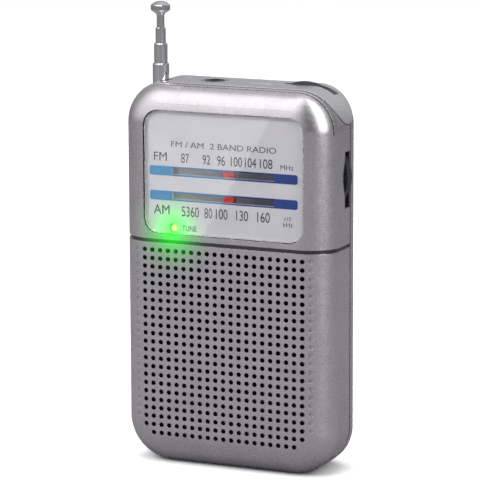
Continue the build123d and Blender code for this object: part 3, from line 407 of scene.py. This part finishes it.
def board():
    """Solder mask with copper lands showing through."""
    finish = Finish("board_green")
    tracks = finish.math("MAXIMUM", finish.waves(2.2, "X", 2.5), finish.waves(3.1, "Z", 2.5))
    lands = finish.spread(tracks, 0.0, 1.0, 0.75, 0.95)
    finish.colour(finish.mix(lands, (0.02, 0.13, 0.05), (0.05, 0.26, 0.09)))
    finish.rough(finish.spread(finish.noise(0.7, 3.0), 0.25, 0.4))
    finish.bump(tracks, 0.03, 0.5)
    return finish.material


BLACK = (0.012, 0.012, 0.014)
materials = {
    "silver_paint": metallic_paint("silver_paint", (0.66, 0.645, 0.665), (0.50, 0.49, 0.51), glow=1.3),
    "light_silver_paint": metallic_paint(
        "light_silver_paint", (0.86, 0.85, 0.88), (0.72, 0.71, 0.75), flake=0.1
    ),
    "clear_lens": clear_lens(),
    "dial_silver": dial_silver(),
    "dial_blue": dial_blue("dial_blue", (0.004, 0.22, 0.46), (0.001, 0.035, 0.22)),
    "dial_backing": slot_backing(),
    "steel": brushed("steel", (0.72, 0.72, 0.73), (0.50, 0.50, 0.52), 0.2, 0.38, (1, 1, 8)),
    "pointer_red": moulded("pointer_red", (0.80, 0.035, 0.03), (0.62, 0.02, 0.02), 0.25, 0.4),
    "white_plastic": moulded("white_plastic", (0.80, 0.79, 0.76), (0.70, 0.69, 0.65)),
    "cream_plastic": moulded("cream_plastic", (0.78, 0.72, 0.54), (0.66, 0.60, 0.44), 0.2, 0.35),
    "black_plastic": moulded("black_plastic", BLACK, (0.026, 0.027, 0.03), 0.3, 0.45),
    "grey_plastic": moulded("grey_plastic", (0.16, 0.16, 0.17), (0.09, 0.09, 0.1), 0.3, 0.45),
    "brown_laminate": moulded("brown_laminate", (0.33, 0.18, 0.09), (0.24, 0.12, 0.06), 0.45, 0.6),
    "green_lamp": lamp(),
    "board_green": board(),
    "blue_sleeve": moulded("blue_sleeve", (0.03, 0.05, 0.22), (0.02, 0.03, 0.14), 0.2, 0.35),
    "ferrite": moulded("ferrite", (0.06, 0.06, 0.065), (0.035, 0.035, 0.038), 0.5, 0.75, 0.2, 0.02),
    "copper_wire": wound("copper_wire", (0.85, 0.42, 0.2), (0.3, 0.12, 0.05), 0.45, "X"),
    "black_cloth": cloth("black_cloth", (0.03, 0.03, 0.034), (0.004, 0.004, 0.005), 0.5),
    "black_rubber": moulded("black_rubber", (0.03, 0.03, 0.03), (0.015, 0.015, 0.015), 0.6, 0.8, 0.2, 0.02),
    "paper_cone": moulded(
        "paper_cone", (0.10, 0.095, 0.085), (0.06, 0.055, 0.05), 0.8, 0.95, 0.5, 0.05, edge=0
    ),
    "chrome": brushed("chrome", (0.86, 0.86, 0.87), (0.78, 0.78, 0.80), 0.04, 0.10, (6, 6, 1), depth=0.0015),
    "brass": brushed("brass", (0.80, 0.58, 0.25), (0.62, 0.42, 0.16), 0.2, 0.35, (1, 1, 8)),
    "cell_jacket": cell_jacket(),
}

for part in frame["record"]["subparts"]:
    mesh = nodes[part["node"]].data
    mesh.materials.clear()
    mesh.materials.append(materials[part["material_slot"]])


# ---------------------------------------------------------------- new pieces
def piece_from(name, bm, material, body):
    """A mesh piece that rides on a body and takes the finish it is given."""
    mesh = bpy.data.meshes.new(name)
    bm.to_mesh(mesh)
    bm.free()
    mesh.materials.append(material)
    piece = bpy.data.objects.new(name, mesh)
    scene.collection.objects.link(piece)
    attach(piece, body)
    return piece


def dark_ink(name, colour, spread):
    """Screen-printed ink, slightly uneven."""
    finish = Finish(name)
    finish.colour(finish.mix(finish.spread(finish.noise(0.7, 4.0), 0.0, 1.0), colour, spread))
    finish.rough(finish.spread(finish.noise(0.4), 0.35, 0.5))
    finish.bump(finish.noise(0.12, 3.0), 0.003, 0.5)
    return finish.material


INK_THICK = 0.03 * MM
PLATE_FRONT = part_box("dial_plate")[0].y
SHIFT_X = -0.98                 # the print lies behind the lens, and the camera looks at it from the right
SHIFT_Z = -0.47


def letter_mesh(text, x0, x1, z0, z1):
    """Raised lettering that fills a box on the dial, as (vertices, faces); sizes in millimetres."""
    curve = bpy.data.curves.new("lettering", "FONT")
    curve.body = text
    curve.extrude = 0.5
    curve.resolution_u = 6
    holder = bpy.data.objects.new("lettering", curve)
    scene.collection.objects.link(holder)
    bpy.context.view_layer.update()
    mesh = bpy.data.meshes.new_from_object(holder.evaluated_get(bpy.context.evaluated_depsgraph_get()))
    corners = [v.co.copy() for v in mesh.vertices]
    faces = [tuple(p.vertices) for p in mesh.polygons]
    bpy.data.objects.remove(holder)
    bpy.data.curves.remove(curve)
    bpy.data.meshes.remove(mesh)
    low_x = min(c.x for c in corners)
    low_y = min(c.y for c in corners)
    wide = max(c.x for c in corners) - low_x
    tall = max(c.y for c in corners) - low_y
    placed = []
    for c in corners:
        x = x0 + SHIFT_X + (c.x - low_x) / wide * (x1 - x0)
        z = z0 + SHIFT_Z + (c.y - low_y) / tall * (z1 - z0)
        placed.append(Vector((x * MM, PLATE_FRONT - (c.z + 0.5) * INK_THICK, z * MM)))
    return placed, faces


def lettering(name, labels, colour):
    bm = bmesh.new()
    for label in labels:
        corners, faces = letter_mesh(*label)
        made = [bm.verts.new(c) for c in corners]
        for face in faces:
            if len(set(face)) > 2:
                bm.faces.new([made[i] for i in face])
    bmesh.ops.remove_doubles(bm, verts=bm.verts, dist=1e-7)
    bmesh.ops.recalc_face_normals(bm, faces=bm.faces)
    ink = dark_ink(name + "_ink", colour, tuple(c * 1.8 for c in colour))
    return piece_from(name, bm, ink, "case")


FM_LOW, FM_HIGH = 94.9, 97.8
AM_LOW, AM_HIGH = 78.5, 81.6
fm_numbers = (
    ("87", -13.3, -10.7), ("92", -6.2, -3.7), ("96", -1.4, 1.2),
    ("100", 3.1, 6.8), ("104", 7.7, 11.4), ("108", 12.6, 16.7),
)
am_numbers = (
    ("53", -13.2, -10.6), ("60", -10.2, -7.5), ("80", -5.7, -3.1),
    ("100", -1.9, 1.95), ("130", 4.8, 8.7), ("160", 11.7, 15.8),
)
lettering("dial_title", [("FM / AM  2 BAND RADIO", -16.6, 17.9, 99.6, 101.4)], (0.03, 0.03, 0.04))
lettering(
    "dial_figures",
    [(text, x0, x1, FM_LOW, FM_HIGH) for text, x0, x1 in fm_numbers]
    + [(text, x0, x1, AM_LOW, AM_HIGH) for text, x0, x1 in am_numbers],
    (0.012, 0.012, 0.016),
)
lettering(
    "dial_band_names",
    [("FM", -22.4, -18.1, 95.2, 97.8), ("AM", -22.6, -17.3, 78.8, 81.6)],
    (0.012, 0.012, 0.016),
)
lettering(
    "dial_units",
    [
        ("MHz", 19.3, 23.5, 94.9, 96.4), ("x10", 20.3, 22.8, 79.6, 80.8),
        ("kHz", 20.2, 23.3, 77.7, 79.1), ("TUNE", -13.2, -8.3, 74.0, 75.7),
    ],
    (0.025, 0.025, 0.03),
)


# ---------------------------------------------------------------- studio
def stage_material(name):
    """Pale matte floor: white to the eye, and greyer in what the radio mirrors."""
    finish = Finish(name)
    finish.colour(finish.mix(finish.noise(40.0, 3.0), (0.86, 0.86, 0.86), (0.84, 0.84, 0.84)))
    finish.rough(finish.spread(finish.noise(20.0), 0.8, 0.9))
    tree = finish.tree
    path = finish.add("ShaderNodeLightPath")
    mirror = finish.add("ShaderNodeBsdfDiffuse")
    mirror.inputs["Color"].default_value = (0.16, 0.155, 0.165, 1.0)
    mixed = finish.add("ShaderNodeMixShader")
    output = tree.nodes["Material Output"]
    finish.link(path.outputs["Is Camera Ray"], mixed.inputs[0])
    finish.link(mirror.outputs[0], mixed.inputs[1])
    finish.link(finish.shader.outputs[0], mixed.inputs[2])
    finish.link(mixed.outputs[0], output.inputs["Surface"])
    return finish.material


FLOOR_HALF = 4.0
floor_mesh = bpy.data.meshes.new("floor")
floor_mesh.from_pydata(
    [(x * FLOOR_HALF, y * FLOOR_HALF, 0) for x, y in ((-1, -1), (1, -1), (1, 1), (-1, 1))],
    [], [(0, 1, 2, 3)],
)
floor_mesh.materials.append(stage_material("floor"))
floor = bpy.data.objects.new("floor", floor_mesh)
scene.collection.objects.link(floor)


def studio_world():
    """Soft boxes all round the radio, as (degrees from the front towards its right side, brightness)."""
    around = (
        (-180, 0.35), (-110, 0.25), (-60, 0.95), (-30, 1.05), (-4, 0.55), (6, 0.08), (28, 0.08), (44, 0.5),
        (56, 3.4), (68, 3.4), (84, 0.2), (140, 0.18), (165, 0.4), (180, 0.35),
    )
    upwards = ((-90, 0.25), (-12, 0.35), (4, 0.95), (25, 1.1), (50, 1.7), (90, 2.0))
    world = bpy.data.worlds.new("studio")
    scene.world = world
    world.use_nodes = True
    tree = world.node_tree
    add = tree.nodes.new
    link = tree.links.new
    direction = add("ShaderNodeSeparateXYZ")
    link(add("ShaderNodeTexCoord").outputs["Generated"], direction.inputs[0])

    def operate(kind, a, b=0.0):
        node = add("ShaderNodeMath")
        node.operation = kind
        for socket, value in zip(node.inputs, (a, b)):
            if isinstance(value, (int, float)):
                socket.default_value = value
            else:
                link(value, socket)
        return node.outputs[0]

    def ramp(position, stops, low, high):
        node = add("ShaderNodeValToRGB")
        top = max(value for _, value in stops)
        elements = node.color_ramp.elements
        for angle, _ in stops[1:-1]:
            elements.new((angle - low) / (high - low))
        for element, (_, value) in zip(elements, stops):
            element.color = (value / top, value / top, value / top, 1.0)
        node.color_ramp.interpolation = "EASE"
        link(position, node.inputs[0])
        return operate("MULTIPLY", node.outputs[0], top)

    forward = operate("MULTIPLY", direction.outputs["Y"], -1.0)
    turn = operate("ARCTAN2", direction.outputs["X"], forward)
    turn = operate("ADD", operate("DIVIDE", turn, 2 * pi), 0.5)
    lift = operate("ADD", operate("DIVIDE", operate("ARCSINE", direction.outputs["Z"]), pi), 0.5)
    level = operate("MULTIPLY", ramp(turn, around, -180, 180), ramp(lift, upwards, -90, 90))
    seen = operate("MAXIMUM", level, add("ShaderNodeLightPath").outputs["Is Camera Ray"])
    background = tree.nodes["Background"]
    background.inputs["Color"].default_value = (1.0, 0.985, 1.0, 1.0)
    link(seen, background.inputs["Strength"])


studio_world()


def area_light(name, at, target, size, power):
    """A soft box that lights the radio and is not itself mirrored in it."""
    data = bpy.data.lights.new(name, "AREA")
    data.shape = "RECTANGLE"
    data.size, data.size_y = size
    data.energy = power
    lamp_object = bpy.data.objects.new(name, data)
    away = (Vector(at) - Vector(target)).normalized()
    lamp_object.matrix_world = Matrix.Translation(at) @ away.to_track_quat("Z", "Y").to_matrix().to_4x4()
    lamp_object.visible_glossy = False
    lamp_object.visible_camera = False
    scene.collection.objects.link(lamp_object)


area_light("key", (-0.35, -0.75, 0.75), (0, 0, 0.06), (0.7, 0.7), 9.0)
area_light("fill", (0.9, -0.5, 0.5), (0, 0, 0.06), (0.6, 0.8), 4.0)
area_light("overhead", (0.0, 0.1, 1.1), (0, 0, 0), (0.9, 0.9), 10.0)


GLARE_TOP_X, GLARE_TOP_Z = 16.2 * MM, 110.2 * MM       # where its edge crosses the lens
GLARE_LOW_X, GLARE_LOW_Z = -6.7 * MM, 72.7 * MM
GLARE_DISTANCE = 0.25
GLARE_HALF = 0.10
GLARE_POWER = 0.55


def lens_glare():
    """A tilted soft box that only the lens mirrors: its edge crosses the window on a slant."""
    edge_top = Vector((GLARE_TOP_X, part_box("dial_lens")[0].y, GLARE_TOP_Z))
    edge_low = Vector((GLARE_LOW_X, edge_top.y, GLARE_LOW_Z))
    mirrored = Vector((CAMERA_AT.x, 2 * edge_top.y - CAMERA_AT.y, CAMERA_AT.z))

    def thrown(point):
        ray = point - mirrored
        return point + ray * ((-GLARE_DISTANCE - point.y) / ray.y)

    top, low = thrown(edge_top), thrown(edge_low)
    along = (top - low).normalized()
    out = along.cross(Vector((0, 1, 0))).normalized()
    if out.x > 0:
        out = -out
    centre = (top + low) / 2 + out * GLARE_HALF
    data = bpy.data.lights.new("glare", "AREA")
    data.shape = "RECTANGLE"
    data.size = 2 * GLARE_HALF
    data.size_y = 2 * GLARE_HALF
    data.energy = GLARE_POWER
    glare = bpy.data.objects.new("glare", data)
    facing = Vector((0, -1, 0))
    axes = Matrix((along.cross(facing), along, facing)).transposed()
    glare.matrix_world = Matrix.Translation(centre) @ axes.to_4x4()
    glare.visible_camera = False
    glare.visible_diffuse = False
    glare.visible_transmission = False
    receivers = bpy.data.collections.new("glare_receivers")
    receivers.objects.link(nodes["dial_lens"])
    glare.light_linking.receiver_collection = receivers
    scene.collection.objects.link(glare)


lens_glare()
